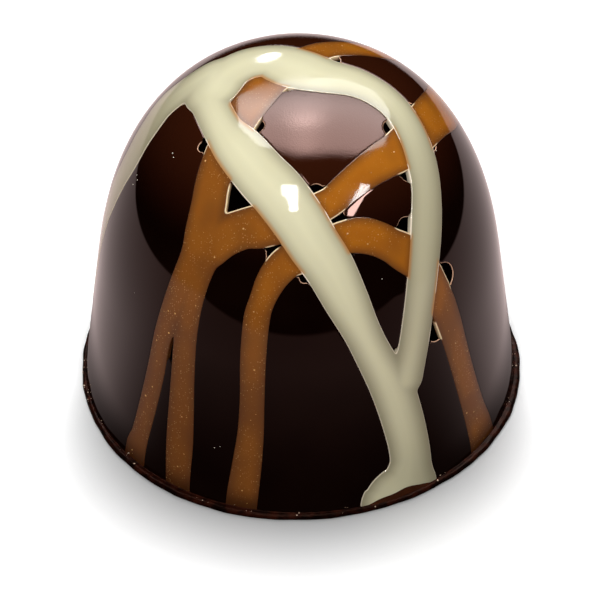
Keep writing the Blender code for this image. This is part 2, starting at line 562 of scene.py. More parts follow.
def closing_layer_surface(settings):
    """A thin plate turned from its profile, with an uneven foot.

    The profile runs from the axis, inside the casting, out to the wall, down the fillet and
    round the elliptical nose to the flat base. The nose swings in and out by two cosines and by
    small ripples, and its upper edge rises and falls.
    """
    segments = settings.foot_segments
    wall = float(body_radius(np.array(FOOT_THICKNESS + FOOT_FILLET)))
    half = FOOT_THICKNESS / 2
    centre = FOOT_RADIUS - FOOT_NOSE
    fillet = np.linspace(0.0, math.pi / 2, 6)
    nose = np.linspace(math.pi / 2, -math.pi / 2, 15)
    radii = np.concatenate([
        [0.0, 0.5 * wall, wall - 0.5 * MM, wall - 0.1 * MM],
        wall - 0.01 * MM + FOOT_FILLET * (1 - np.cos(fillet)),
        centre + FOOT_NOSE * np.cos(nose),
        [wall - 1.0 * MM, 0.5 * wall, 0.0],
    ])
    top = FOOT_THICKNESS + FOOT_FILLET
    heights = np.concatenate([
        [top, top, top, top],
        top - FOOT_FILLET * np.sin(fillet),
        half + half * np.sin(nose),
        [0.0, 0.0, 0.0],
    ])
    heights[:3] = FOOT_THICKNESS * 0.8
    turn = np.arange(segments) * 2 * math.pi / segments
    out = np.clip((radii - wall) / (FOOT_RADIUS - wall), 0.0, 1.0)[:, None]
    ripple = 0.018 * np.sin(17 * turn + 1.0) + 0.014 * np.sin(29 * turn) + 0.010 * np.sin(53 * turn + 2)
    swing = FOOT_WAVE * wave(FOOT_WAVES, turn) + ripple * MM
    lift = FOOT_TOP_WAVE * wave(FOOT_TOP_WAVES, turn) + 0.6 * MM * ripple
    grown = radii[:, None] + out * swing
    raised = heights[:, None] * (1 + out * lift / FOOT_THICKNESS)
    points = np.stack([grown * np.cos(turn), grown * np.sin(turn), raised], -1)
    rows, columns = len(radii), segments
    points[0], points[-1] = (0.0, 0.0, raised[0].mean()), (0.0, 0.0, 0.0)
    index = np.arange(rows * columns).reshape(rows, columns)
    here, below = index[:-1], index[1:]
    after, below_after = np.roll(here, -1, axis=1), np.roll(below, -1, axis=1)
    quads = np.stack([here, below, below_after, after], -1).reshape(-1, 4)
    triangles = np.vstack([quads[:, [0, 1, 2]], quads[:, [0, 2, 3]]])
    flat_index = np.arange(rows * columns)
    flat_index[:columns] = 0
    flat_index[-columns:] = (rows - 1) * columns
    triangles = flat_index[triangles]
    whole = (triangles[:, 0] != triangles[:, 1]) & (triangles[:, 1] != triangles[:, 2])
    triangles = triangles[whole & (triangles[:, 0] != triangles[:, 2])]
    points = points.reshape(-1, 3)
    surface = Surface()
    surface.add_points(points, facing_normals(points, triangles))
    surface.add_triangles(triangles)
    return surface


# ---------------------------------------------------------------- small things on the skin

def bead_shape(segments, rows, flatness):
    """A low closed bead: points and normals of a squashed ball of radius 1, and its triangles."""
    polar = np.linspace(0.0, math.pi, rows)[1:-1]
    turn = np.arange(segments) * 2 * math.pi / segments
    ring = np.stack([
        np.outer(np.sin(polar), np.cos(turn)),
        np.outer(np.sin(polar), np.sin(turn)),
        np.outer(np.cos(polar), np.ones(segments)),
    ], -1).reshape(-1, 3)
    ball = np.vstack([[0.0, 0.0, 1.0], ring, [0.0, 0.0, -1.0]])
    index = 1 + np.arange(len(polar) * segments).reshape(len(polar), segments)
    after = np.roll(index, -1, axis=1)
    last = len(ball) - 1
    caps = [np.column_stack([np.zeros(segments, int), index[0], after[0]])]
    caps.append(np.column_stack([index[-1], np.full(segments, last), after[-1]]))
    middle = [
        np.column_stack([index[i], index[i + 1], after[i + 1]]) for i in range(len(polar) - 1)
    ] + [np.column_stack([index[i], after[i + 1], after[i]]) for i in range(len(polar) - 1)]
    return ball * (1, 1, flatness), ball * (1, 1, 1 / flatness), np.vstack(caps + middle)


def beads_surface(points, normals, radii, flatness, segments=7, rows=5, sink=0.0):
    """One bead at each point, standing on its normal, all in one surface."""
    ball, ball_normals, triangles = bead_shape(segments, rows, flatness)
    helper = np.where(np.abs(normals[:, 2:]) < 0.9, (0.0, 0.0, 1.0), (1.0, 0.0, 0.0))
    side = np.cross(helper, normals)
    side /= np.linalg.norm(side, axis=1, keepdims=True)
    axes = np.stack([side, np.cross(normals, side), normals], 1)
    shapes = np.einsum("kj,njc->nkc", ball, axes) * radii[:, None, None]
    turned = np.einsum("kj,njc->nkc", ball_normals, axes)
    placed = shapes + (points - normals * (sink * radii)[:, None])[:, None, :]
    surface = Surface()
    surface.add_points(placed.reshape(-1, 3), turned.reshape(-1, 3))
    first = np.arange(len(points)) * len(ball)
    surface.add_triangles((triangles[None] + first[:, None, None]).reshape(-1, 3))
    return surface


def caramel_bubble_places(random, wanted):
    """Random places on the caramel, away from its edges and from the white, and their radii."""
    bearing = random.uniform(0, 360, wanted * 14)
    distance = SKIN_FOOT * np.sqrt(random.uniform(0, 1, wanted * 14))
    points, normals = on_skin(flat_point(bearing, distance))
    clear = (caramel_field(points) > 0.12 * MM) & (white_field(points) < -0.1 * MM)
    points, normals = points[clear][:wanted], normals[clear][:wanted]
    radii = MM * (0.022 + 0.05 * random.random(len(points)) ** 4)
    return points, normals, radii


def foot_crumb_places(random, wanted):
    """Random places along the corner between the foot and the wall, in loose clusters."""
    cluster = random.uniform(0, 360, wanted // 3)
    bearing = np.repeat(cluster, 3) + random.normal(0, 1.6, 3 * len(cluster))
    turn = np.radians(bearing)
    out = random.uniform(-0.05, 0.28, len(turn)) * MM
    wall = float(body_radius(np.array(FOOT_THICKNESS)))
    radius = wall + out
    height = FOOT_THICKNESS + np.where(out < 0.1 * MM, random.uniform(0.0, 0.2, len(turn)) * MM, 0.0)
    points = np.column_stack([radius * np.cos(turn), radius * np.sin(turn), height])
    normals = np.column_stack([0.4 * np.cos(turn), 0.4 * np.sin(turn), np.full(len(turn), 0.9)])
    normals /= np.linalg.norm(normals, axis=1, keepdims=True)
    return points, normals, MM * (0.016 + 0.045 * random.random(len(turn)) ** 3)


def smear_surface():
    """A thin smear of chocolate over the foot of the broad white streak.

    Along the foot it runs from -1 to 1, across it from 0 at the foot's nose to 1 up the wall.
    Its upper edge is a lopsided arch, and its thickness is a parabola both ways.
    """
    columns, rows = 60, 16
    u, v = np.meshgrid(np.linspace(-1, 1, columns), np.linspace(0, 1, rows), indexing="ij")
    bearing = np.radians(296.2 + 9.6 * u)
    arch = (1 - u**2) ** 0.8 * (1 + 0.25 * u + 0.12 * np.sin(7 * u))
    climb = v * arch * 0.5 * MM
    height = FOOT_THICKNESS - 0.04 * MM + climb
    swell = 0.07 * MM * (1 - u**2) * np.sin(math.pi * np.clip(v, 0, 1)) ** 0.7 - 0.02 * MM * v
    radius = body_radius(height) + swell + 0.10 * MM * (1 - v) ** 3
    points = np.stack([radius * np.cos(bearing), radius * np.sin(bearing), height], -1)
    inner = points * (0.985, 0.985, 1.0)
    index = np.arange(columns * rows).reshape(columns, rows)
    quads = np.stack([index[:-1, :-1], index[1:, :-1], index[1:, 1:], index[:-1, 1:]], -1).reshape(-1, 4)
    triangles = np.vstack([quads[:, [0, 1, 2]], quads[:, [0, 2, 3]]])
    points, inner = points.reshape(-1, 3), inner.reshape(-1, 3)
    surface = Surface()
    surface.add_points(points, facing_normals(points, triangles))
    surface.add_triangles(triangles)
    back = surface.add_points(inner, -facing_normals(points, triangles))
    surface.add_triangles(triangles[:, ::-1] + back)
    border = border_of(triangles)
    surface.join_rows(border, np.arange(len(points)), back + np.arange(len(points)))
    return surface


# ---------------------------------------------------------------- materials

def linear(hex_colour):
    """An sRGB hex value as linear red, green, blue and alpha."""
    channels = [int(hex_colour[i : i + 2], 16) / 255 for i in (1, 3, 5)]
    return (*[c / 12.92 if c <= 0.04045 else ((c + 0.055) / 1.055) ** 2.4 for c in channels], 1.0)


def feed(tree, socket, value):
    """Links another socket to this one, or sets its value."""
    if isinstance(value, bpy.types.NodeSocket):
        tree.links.new(value, socket)
    else:
        socket.default_value = value


def add_node(tree, kind, links=None, **settings):
    """Adds a node, sets its properties and inputs, and links what is given as a socket."""
    made = tree.nodes.new(kind)
    for name, value in settings.items():
        setattr(made, name, value)
    for name, value in (links or {}).items():
        feed(tree, made.inputs[name], value)
    return made


def new_material(name):
    """A material with its node tree and its one shader."""
    material = bpy.data.materials.new(name)
    material.use_nodes = True
    tree = material.node_tree
    return material, tree, tree.nodes["Principled BSDF"]


def set_inputs(tree, shader, links):
    """Sets or links the shader's named inputs."""
    for name, value in links.items():
        feed(tree, shader.inputs[name], value)


def noise(tree, size_mm, detail=2.0, roughness=0.5):
    """Noise whose lumps are about size_mm across, on the piece's own coordinates."""
    place = add_node(tree, "ShaderNodeTexCoord")
    return add_node(
        tree, "ShaderNodeTexNoise",
        {"Vector": place.outputs["Object"], "Scale": 1 / (size_mm * MM), "Detail": detail,
         "Roughness": roughness},
    ).outputs["Fac"]


def remap(tree, value, low, high, to_low=0.0, to_high=1.0):
    """Turns low to high into to_low to to_high along a smooth step."""
    return add_node(
        tree, "ShaderNodeMapRange",
        {"Value": value, "From Min": low, "From Max": high, "To Min": to_low, "To Max": to_high},
        interpolation_type="SMOOTHSTEP",
    ).outputs["Result"]


def blend_colours(tree, factor, first, second):
    """The first colour where the factor is 0, the second where it is 1."""
    mixed = add_node(tree, "ShaderNodeMix", data_type="RGBA")
    colours = [socket for socket in mixed.inputs if socket.type == "RGBA"]
    for socket, value in zip([mixed.inputs[0], *colours], (factor, first, second)):
        feed(tree, socket, value)
    return next(socket for socket in mixed.outputs if socket.type == "RGBA")


def arithmetic(tree, operation, first, second=0.0):
    """One Math node on one or two values."""
    made = add_node(tree, "ShaderNodeMath", operation=operation)
    for socket, value in zip(made.inputs, (first, second)):
        feed(tree, socket, value)
    return made.outputs["Value"]


def point_value(tree, name):
    """A value that the mesh carries at each point."""
    return add_node(tree, "ShaderNodeAttribute", attribute_name=name).outputs["Fac"]


def coordinate(tree, axis):
    """The place along one axis of the piece's own coordinates, in metres."""
    place = add_node(tree, "ShaderNodeTexCoord").outputs["Object"]
    return add_node(tree, "ShaderNodeSeparateXYZ", {"Vector": place}).outputs[axis]


def lip_highlight_share(tree, edge):
    """1 on the lip that a streak turns towards an air pocket, where a pale highlight is painted, 0
    elsewhere.
    """
    at_edge = remap(tree, edge, 0.04, 0.1, 1.0, 0.0)
    return arithmetic(tree, "MULTIPLY", point_value(tree, "lip"), at_edge)


def dark_chocolate(colours):
    """Tempered dark chocolate cast against a polished cavity: near black, mirror-like.

    Its shine is warm, because cocoa butter lies over the brown. The gloss drifts softly, and a faint
    swell and fine ripple on the top bend what it mirrors. Towards the top its colour turns a lighter
    brown, which is painted light. In the air pockets it is matt and black, which is painted shade, and
    the thin lip of a pocket is pale, which is a painted highlight.
    """
    material, tree, shader = new_material("tempered_dark_chocolate")
    drift = remap(tree, noise(tree, 4.0), 0.3, 0.7)
    body = blend_colours(tree, drift, linear("#0a0201"), tuple(colours.dark))
    height = coordinate(tree, "Z")
    # Painted light: towards the top of the dome the colour turns a lighter brown.
    painted_top_light = remap(tree, height, 17.0 * MM, 22.4 * MM)
    body = blend_colours(tree, painted_top_light, body, linear("#321408"))
    # Painted shade: black down the walls of the channels and air pockets.
    recess = remap(tree, point_value(tree, "recess"), 0.1, 0.5)
    hollow = blend_colours(tree, recess, body, linear("#010000"))
    # Painted highlight: a pale lip round each air pocket, not a bleached one.
    lip = remap(tree, point_value(tree, "rim"), 0.2, 0.9)
    colour = blend_colours(tree, lip, hollow, linear("#d8ab8e"))
    gloss = remap(tree, noise(tree, 1.6), 0.25, 0.75, 0.02, 0.05)
    gloss = arithmetic(tree, "ADD", gloss, arithmetic(tree, "MULTIPLY", recess, 0.9))
    swell = add_node(tree, "ShaderNodeBump", {"Height": noise(tree, 2.5, 1.0), "Strength": 0.05,
                                              "Distance": 0.05 * MM})
    on_top = remap(tree, height, 20.5 * MM, 22.6 * MM)
    ripple = arithmetic(tree, "MULTIPLY", noise(tree, 0.09, 2.0), on_top)
    peel = add_node(tree, "ShaderNodeBump", {"Height": ripple, "Strength": 0.42,
                                             "Distance": 0.02 * MM,
                                             "Normal": swell.outputs["Normal"]})
    set_inputs(tree, shader, {
        "Base Color": colour, "Roughness": gloss, "IOR": 1.3, "Normal": peel.outputs["Normal"],
        "Specular Tint": linear("#ffcfc3"),
    })
    return material


def hollow_chocolate():
    """Dark chocolate inside a channel or air pocket, which no light reaches: black, without shine."""
    material, tree, shader = new_material("hollow_painted_shade_chocolate")
    # Painted shade: a black colour without shine stands in for the dark inside channels and pockets.
    set_inputs(tree, shader, {
        "Base Color": linear("#030101"), "Roughness": 1.0, "Specular IOR Level": 0.0,
    })
    return material


def closing_chocolate():
    """The closing layer: the same chocolate, scraped and set in air, so less even and less shiny."""
    material, tree, shader = new_material("scraped_dark_chocolate")
    drift = remap(tree, noise(tree, 0.6), 0.35, 0.75)
    colour = blend_colours(tree, drift, linear("#0a0302"), linear("#2c1008"))
    gloss = remap(tree, noise(tree, 0.5), 0.3, 0.7, 0.15, 0.4)
    rough = add_node(tree, "ShaderNodeBump", {"Height": noise(tree, 0.3, 3.0), "Strength": 0.5,
                                              "Distance": 0.06 * MM})
    set_inputs(tree, shader, {
        "Base Color": colour, "Roughness": gloss, "IOR": 1.2, "Normal": rough.outputs["Normal"],
        "Specular IOR Level": 0.15, "Specular Tint": linear("#d8a48e"),
    })
    return material


def white_chocolate(colours):
    """White chocolate behind the skin: ivory and waxy, greyer where it runs out thin.

    Its layer thickens inwards from each edge, so it is greyer where thin; low down and at the sides,
    away from the middle, it is greyer still, which is painted shade. Where caramel lies behind it the
    thin edge glows amber; beside dark chocolate and at air pockets the edge ends in a pale line, which
    is a painted highlight.
    """
    material, tree, shader = new_material("white_chocolate")
    drift = remap(tree, noise(tree, 5.0), 0.3, 0.7)
    ivory = blend_colours(tree, drift, tuple(colours.white), linear("#f2ebc4"))
    edge = point_value(tree, "edge_mm")
    height = coordinate(tree, "Z")
    # Painted shade: lower down, the grey edge reaches further in.
    painted_low_edge_shade = remap(tree, height, 10.0 * MM, 20.0 * MM, 0.18, 0.0)
    inner_edge = arithmetic(tree, "SUBTRACT", edge, painted_low_edge_shade)
    skin = remap(tree, inner_edge, -0.35, 0.9)
    pooled = remap(tree, edge, 0.6, 2.0)
    thick_and_shaded = arithmetic(tree, "ADD", arithmetic(tree, "MULTIPLY", skin, 0.8),
                       arithmetic(tree, "MULTIPLY", pooled, 0.2))
    # Painted shade: the white turns greyer away from the middle plane and low down.
    aside = arithmetic(tree, "ABSOLUTE", coordinate(tree, "X"))
    aside = remap(tree, aside, 4.5 * MM, 10.0 * MM, 1.0, 0.2)
    below = remap(tree, height, 1.0 * MM, 5.0 * MM, 0.8, 1.0)
    thick_and_shaded = arithmetic(tree, "MULTIPLY", thick_and_shaded, arithmetic(tree, "MULTIPLY", aside, below))
    greyed = blend_colours(tree, thick_and_shaded, tuple(colours.thin_and_shaded_white), ivory)
    behind = remap(tree, point_value(tree, "backing_mm"), -0.15, 0.1)
    thin = remap(tree, edge, 0.02, 0.34, 1.0, 0.0)
    amber = arithmetic(tree, "MULTIPLY", thin, behind)
    amber = arithmetic(tree, "MULTIPLY", amber, 0.75)
    warmed = blend_colours(tree, amber, greyed, linear("#c98336"))
    # Painted highlight: a pale line along the edge beside dark chocolate and at air pockets.
    line = remap(tree, edge, 0.03, 0.07, 1.0, 0.0)
    line = arithmetic(tree, "MULTIPLY", line, arithmetic(tree, "SUBTRACT", 1.0, behind))
    line = arithmetic(tree, "MULTIPLY", line, 0.5)
    line = arithmetic(tree, "MAXIMUM", line, lip_highlight_share(tree, edge))
    colour = blend_colours(tree, line, warmed, linear("#ffeed4"))
    gloss = remap(tree, noise(tree, 1.4), 0.25, 0.75, 0.05, 0.11)
    set_inputs(tree, shader, {
        "Base Color": colour, "Roughness": gloss, "IOR": 1.33,
        "Subsurface Weight": 0.12, "Subsurface Scale": 1.2 * MM,
    })
    shader.inputs["Subsurface Radius"].default_value = (1.0, 0.8, 0.5)
    return material


def caramel_chocolate(colours):
    """Caramel chocolate with a pearl shimmer: amber, mottled, full of pale gold specks.

    It darkens towards its edges, where it runs out thin. Lower down, just above the foot and towards its
    left side it is darker still, which is painted shade. Where its edge faces an air pocket it has a
    pale lip, which is a painted highlight.
    """
    material, tree, shader = new_material("caramel_chocolate")
    drift = remap(tree, noise(tree, 2.2, 3.0), 0.35, 0.7)
    amber = blend_colours(tree, drift, tuple(colours.caramel), linear("#ad6519"))
    edge, height = point_value(tree, "edge_mm"), coordinate(tree, "Z")
    pool = remap(tree, edge, -0.3, 0.7)
    # Painted shade: darker towards the left side.
    painted_left_shade = remap(tree, coordinate(tree, "X"), -9.0 * MM, 3.0 * MM, 0.5, 1.0)
    thick_and_shaded = arithmetic(tree, "MULTIPLY", pool, painted_left_shade)
    # Painted shade: darker lower down.
    painted_low_shade = remap(tree, height, 9.0 * MM, 20.0 * MM, 0.45, 1.0)
    thick_and_shaded = arithmetic(tree, "MULTIPLY", thick_and_shaded, painted_low_shade)
    patches = remap(tree, noise(tree, 3.2, 1.0), 0.3, 0.6, 0.6, 1.0)
    thick_and_shaded = arithmetic(tree, "MULTIPLY", thick_and_shaded, patches)
    amber = blend_colours(tree, thick_and_shaded, tuple(colours.thin_and_shaded_caramel), amber)
    # Painted shade: darkest just above the foot.
    painted_foot_shade = remap(tree, height, 0.4 * MM, 2.2 * MM, 0.8, 0.0)
    amber = blend_colours(tree, painted_foot_shade, amber, linear("#2e1408"))
    place = add_node(tree, "ShaderNodeTexCoord").outputs["Object"]
    cells = add_node(tree, "ShaderNodeTexVoronoi", {"Vector": place, "Scale": 1 / (0.13 * MM)})
    speck = remap(tree, cells.outputs["Distance"], 0.12, 0.34, 1.0, 0.0)
    chosen = add_node(tree, "ShaderNodeSeparateColor", {"Color": cells.outputs["Color"]})
    speck = arithmetic(tree, "MULTIPLY", speck, remap(tree, chosen.outputs["Red"], 0.35, 0.95))
    patchy = remap(tree, noise(tree, 3.0), 0.38, 0.6)
    speck = arithmetic(tree, "MULTIPLY", speck, patchy)
    speck = arithmetic(tree, "MULTIPLY", speck, 0.5)
    specked = blend_colours(tree, speck, amber, linear("#e0b070"))
    rim = remap(tree, edge, 0.0, 0.12, 0.35, 0.0)
    dulled = blend_colours(tree, rim, specked, linear("#4a2608"))
    # Painted highlight: a pale lip where the caramel's edge faces an air pocket.
    colour = blend_colours(tree, lip_highlight_share(tree, edge), dulled, linear("#ffe0b4"))
    gloss = remap(tree, noise(tree, 1.2), 0.25, 0.75, 0.06, 0.12)
    grain = add_node(tree, "ShaderNodeBump", {"Height": noise(tree, 0.18, 1.0), "Strength": 0.03,
                                              "Distance": 0.02 * MM})
    set_inputs(tree, shader, {
        "Base Color": colour, "Roughness": gloss, "IOR": 1.27, "Normal": grain.outputs["Normal"],
        "Subsurface Weight": 0.1, "Subsurface Scale": 1.0 * MM,
    })
    return material


def plain_material(name, hex_colour, roughness, ior=1.45):
    """One colour with patches a quarter darker, for the small things."""
    material, tree, shader = new_material(name)
    tint = blend_colours(
        tree, remap(tree, noise(tree, 0.4), 0.3, 0.7), linear(hex_colour),
        tuple(0.75 * channel for channel in linear(hex_colour)[:3]) + (1.0,),
    )
    set_inputs(tree, shader, {"Base Color": tint, "Roughness": roughness, "IOR": ior})
    return material


# ---------------------------------------------------------------- settings

class PralineSizes(bpy.types.PropertyGroup):
    """Sizes of the visible surface, in millimetres unless they count something."""

    groove_width: FloatProperty(
        name="Groove width", description="Strip beside a streak where the skin dips, in mm",
        default=0.11, min=0.02, max=0.5,
    )
    white_dip: FloatProperty(
        name="Dip at the white", description="How far the skin sinks beside a white streak, in mm",
        default=0.028, min=0.0, max=0.2,
    )
    caramel_dip: FloatProperty(
        name="Dip at the caramel", description="How far the skin sinks beside caramel, in mm",
        default=0.004, min=0.0, max=0.2,
    )
    channel_depth: FloatProperty(
        name="Channel depth", description="Depth of the channels and air pockets, in mm",
        default=0.35, min=0.1, max=1.0,
    )
    edge_radius: FloatProperty(
        name="Edge radius", description="Rounding of a streak's edge, in mm",
        default=0.05, min=0.01, max=0.3,
    )
    white_thickness: FloatProperty(
        name="White thickness", description="Thickness of the white streaks, in mm",
        default=0.3, min=0.05, max=1.0,
    )
    caramel_thickness: FloatProperty(
        name="Caramel thickness", description="Thickness of the caramel streaks, in mm",
        default=0.3, min=0.05, max=1.0,
    )
    casting_rings: IntProperty(
        name="Casting rings", description="Rings of the grid that draws the casting",
        default=112, min=20, max=200,
    )
    streak_rings: IntProperty(
        name="Streak rings", description="Rings of the grid that draws the streaks",
        default=190, min=20, max=300,
    )
    foot_segments: IntProperty(
        name="Foot segments", description="Steps round the closing layer",
        default=480, min=48, max=2000,
    )
    bubble_count: IntProperty(
        name="Bubbles", description="Fine bubbles in the caramel", default=260, min=0, max=2000,
    )
    crumb_count: IntProperty(
        name="Crumbs", description="Specks in the corner of the foot", default=96, min=0, max=1000,
    )


class PralineColours(bpy.types.PropertyGroup):
    """Base colours of the three chocolates."""

    dark: FloatVectorProperty(
        name="Dark chocolate", description="Base colour of the casting", subtype="COLOR", size=4,
        default=linear("#0e0402"), min=0.0, max=1.0,
    )
    white: FloatVectorProperty(
        name="White chocolate", description="Base colour of the white streaks", subtype="COLOR",
        size=4, default=linear("#f4edc6"), min=0.0, max=1.0,
    )
    # This colour also paints shade on the white, low down and at the sides.
    thin_and_shaded_white: FloatVectorProperty(
        name="Thin white", description="Base colour of the white where it runs out thin",
        subtype="COLOR", size=4, default=linear("#989076"), min=0.0, max=1.0,
    )
    caramel: FloatVectorProperty(
        name="Caramel chocolate", description="Base colour of the caramel streaks",
        subtype="COLOR", size=4, default=linear("#b56c1b"), min=0.0, max=1.0,
    )
    # This colour also paints shade on the caramel, low down and on its left side.
    thin_and_shaded_caramel: FloatVectorProperty(
        name="Thin caramel", description="Base colour of the caramel where it runs out thin",
        subtype="COLOR", size=4, default=linear("#5c3720"), min=0.0, max=1.0,
    )


class PralineStage(bpy.types.PropertyGroup):
    """Camera and lamps."""

    elevation: FloatProperty(
        name="Camera elevation", description="Height of the view above the horizon",
        default=math.radians(41.88), subtype="ANGLE",
    )
    distance: FloatProperty(
        name="Camera distance", description="From the camera to the praline's axis",
        default=12 * FOOT_RADIUS, unit="LENGTH",
    )
    lens: FloatProperty(name="Lens", description="Focal length in mm", default=160.9, min=10.0)
    roll: FloatProperty(
        name="Camera roll", description="Tilt of the camera to its right",
        default=math.radians(0.32), subtype="ANGLE",
    )


# ---------------------------------------------------------------- operators

def finish_piece(piece):
    """Puts the piece on the one body."""
    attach(piece, "root")
    return piece


class PRALINE_OT_casting(bpy.types.Operator):
    """Make the glossy dark casting, with its channels and air pockets."""

    bl_idname = "praline.casting"
    bl_label = "Casting"

    def execute(self, context):
        scene = context.scene
        surface = casting_surface(scene.praline_sizes)
        piece = surface.make(
            "casting", dark_chocolate(scene.praline_colours), hollow_chocolate()
        )
        finish_piece(piece)
        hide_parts(NODE)
        return {"FINISHED"}


class PRALINE_OT_closing_layer(bpy.types.Operator):
    """Make the thin closing layer with its uneven foot."""

    bl_idname = "praline.closing_layer"
    bl_label = "Closing layer"

    def execute(self, context):
        scene = context.scene
        surface = closing_layer_surface(scene.praline_sizes)
        piece = surface.make("closing_layer", closing_chocolate())
        finish_piece(piece)
        return {"FINISHED"}


class PRALINE_OT_caramel_streaks(bpy.types.Operator):
    """Make the caramel streaks, which stop just inside the edge of the white ones."""

    bl_idname = "praline.caramel_streaks"
    bl_label = "Caramel streaks"

    def execute(self, context):
        scene = context.scene
        sizes = scene.praline_sizes

        def shown_caramel(points):
            return np.minimum(caramel_field(points), 0.2 * MM - white_field(points))

        surface = streak_surface(
            sizes, shown_caramel, 0.004 * MM, sizes.caramel_thickness * MM, white_field
        )
        piece = surface.make("caramel_streaks", caramel_chocolate(scene.praline_colours))
        finish_piece(piece)
        return {"FINISHED"}


class PRALINE_OT_white_streaks(bpy.types.Operator):
    """Make the white streaks, which lie outermost."""

    bl_idname = "praline.white_streaks"
    bl_label = "White streaks"

    def execute(self, context):
        scene = context.scene
        sizes = scene.praline_sizes
        surface = streak_surface(
            sizes, white_field, 0.012 * MM, sizes.white_thickness * MM, caramel_field
        )
        piece = surface.make("white_streaks", white_chocolate(scene.praline_colours))
        finish_piece(piece)
        return {"FINISHED"}


class PRALINE_OT_small_things(bpy.types.Operator):
    """Make the caramel's fine bubbles, the crumbs at the foot, the dust and the smear."""

    bl_idname = "praline.small_things"
    bl_label = "Bubbles, crumbs and smear"

    def execute(self, context):
        sizes = context.scene.praline_sizes
        random = np.random.default_rng(7)
        points, normals, radii = caramel_bubble_places(random, sizes.bubble_count)
        bubbles = beads_surface(points, normals, radii, 0.35)
        pale_gold = plain_material("caramel_bubble_skin", "#dca45c", 0.25)
        finish_piece(bubbles.make("caramel_bubbles", pale_gold))
        points, normals, radii = foot_crumb_places(random, sizes.crumb_count)
        crumbs = beads_surface(points, normals, radii, 0.7)
        dark_crumb = plain_material("chocolate_crumbs", "#d6b79c", 0.3)
        finish_piece(crumbs.make("foot_crumbs", dark_crumb))
        plan = np.array(SKIN_SPECKS)
        points, normals = on_skin(flat_point(plan[:, 0], plan[:, 1] * MM))
        dust = beads_surface(points, normals, plan[:, 2] * MM, 0.5)
        pale = plain_material("white_chocolate_dust", "#f2ead8", 0.4)
        finish_piece(dust.make("skin_specks", pale))
        brown = plain_material("smeared_dark_chocolate", "#3c1c0c", 0.2, 1.3)
        finish_piece(smear_surface().make("foot_smear", brown))
        return {"FINISHED"}


# Lamps, planned on a ceiling one unit high over the praline: (x, y), +y at the back.
KEY_REACH = 0.6
OCTABOX_REACH = 0.5
WINDOW_REACH = 0.4
OCTABOX = (
    (-0.47, 1.06), (-0.07, 1.29), (0.32, 1.40), (0.75, 1.40), (1.02, 1.10), (1.04, 0.67),
    (0.96, 0.29), (0.62, 0.01), (0.0, -0.05), (-0.34, 0.10), (-0.50, 0.45),
)
HOT_SPOT = (0.04, 0.51)
HOT_SPOT_RADIUS = 0.045
BAND_WIDTH = 0.055  # of the brighter band through the hot spot, in metres
BAND_GAIN = 0.42
WINDOW = ((-0.20, -0.52), (-0.02, -0.52), (-0.02, -1.0), (-0.13, -1.0), (-0.145, -0.71), (-0.20, -0.70))
SIDE_WINDOW = (
    (0.76, -0.88), (0.81, -0.43), (0.98, -0.43), (0.975, -0.72), (0.95, -1.12), (0.82, -1.10),
)
# The pale card that the table shows in the praline's shine: its edges on each axis, in mm.
CARD = (("X", -88, 78), ("Y", -66, 95))


def ceiling_lamp(name, centre, size, reach, strength):
    """A flat lamp that lights the colours and isn't mirrored in the shine."""
    lamp = bpy.data.lights.new(name, "AREA")
    lamp.shape = "RECTANGLE"
    lamp.size, lamp.size_y = size[0] * reach, size[1] * reach
    lamp.energy = strength * lamp.size * lamp.size_y * math.pi
    shown = bpy.data.objects.new(name, lamp)
    shown.location = (centre[0] * reach, centre[1] * reach, reach + HEIGHT)
    shown.visible_camera = False
    shown.visible_glossy = False
    bpy.context.scene.collection.objects.link(shown)


def bell_curve(tree, distance, width):
    """e to the power of minus the square of the distance over the width."""
    share = arithmetic(tree, "DIVIDE", distance, width)
    square = arithmetic(tree, "MULTIPLY", share, share)
    return arithmetic(tree, "POWER", math.e, arithmetic(tree, "MULTIPLY", square, -1.0))


def glowing_panel(name, corners, strength, hot_spot=None):
    """A glowing flat panel seen only in the praline's shine.

    Its brightness is even, or has a bell-shaped hot spot given as (place, radius, brightness),
    with a brighter band through it from front to back, and falls off towards the back.
    """
    mesh = bpy.data.meshes.new(name)
    mesh.from_pydata([tuple(corner) for corner in corners], [], [list(range(len(corners)))])
    material = bpy.data.materials.new(name)
    material.use_nodes = True
    tree = material.node_tree
    tree.nodes.clear()
    level = strength
    if hot_spot:
        place, radius, brightness = hot_spot
        here = add_node(tree, "ShaderNodeTexCoord").outputs["Object"]
        gap = add_node(tree, "ShaderNodeVectorMath", operation="DISTANCE")
        tree.links.new(here, gap.inputs[0])
        gap.inputs[1].default_value = place
        split = add_node(tree, "ShaderNodeSeparateXYZ", {"Vector": here})
        aside = arithmetic(tree, "SUBTRACT", split.outputs["X"], place[0])
        band = arithmetic(tree, "MULTIPLY", bell_curve(tree, aside, BAND_WIDTH), BAND_GAIN)
        far = remap(tree, split.outputs["Y"], 0.36, 0.62, 1.0, 0.35)
        even = arithmetic(tree, "MULTIPLY", arithmetic(tree, "ADD", band, 1.0), far)
        level = arithmetic(tree, "MULTIPLY", bell_curve(tree, gap.outputs["Value"], radius), brightness)
        level = arithmetic(tree, "ADD", level, arithmetic(tree, "MULTIPLY", even, strength))
    glow = add_node(tree, "ShaderNodeEmission", {"Strength": level})
    output = add_node(tree, "ShaderNodeOutputMaterial")
    tree.links.new(glow.outputs["Emission"], output.inputs["Surface"])
    mesh.materials.append(material)
    panel = bpy.data.objects.new(name, mesh)
    bpy.context.scene.collection.objects.link(panel)
    panel.visible_camera = False
    panel.visible_diffuse = False
    panel.visible_shadow = False


def ceiling_points(plan, reach):
    """Corners on a ceiling at this height over the praline, planned for one a unit high."""
    return [(x * reach, y * reach, reach + HEIGHT) for x, y in plan]


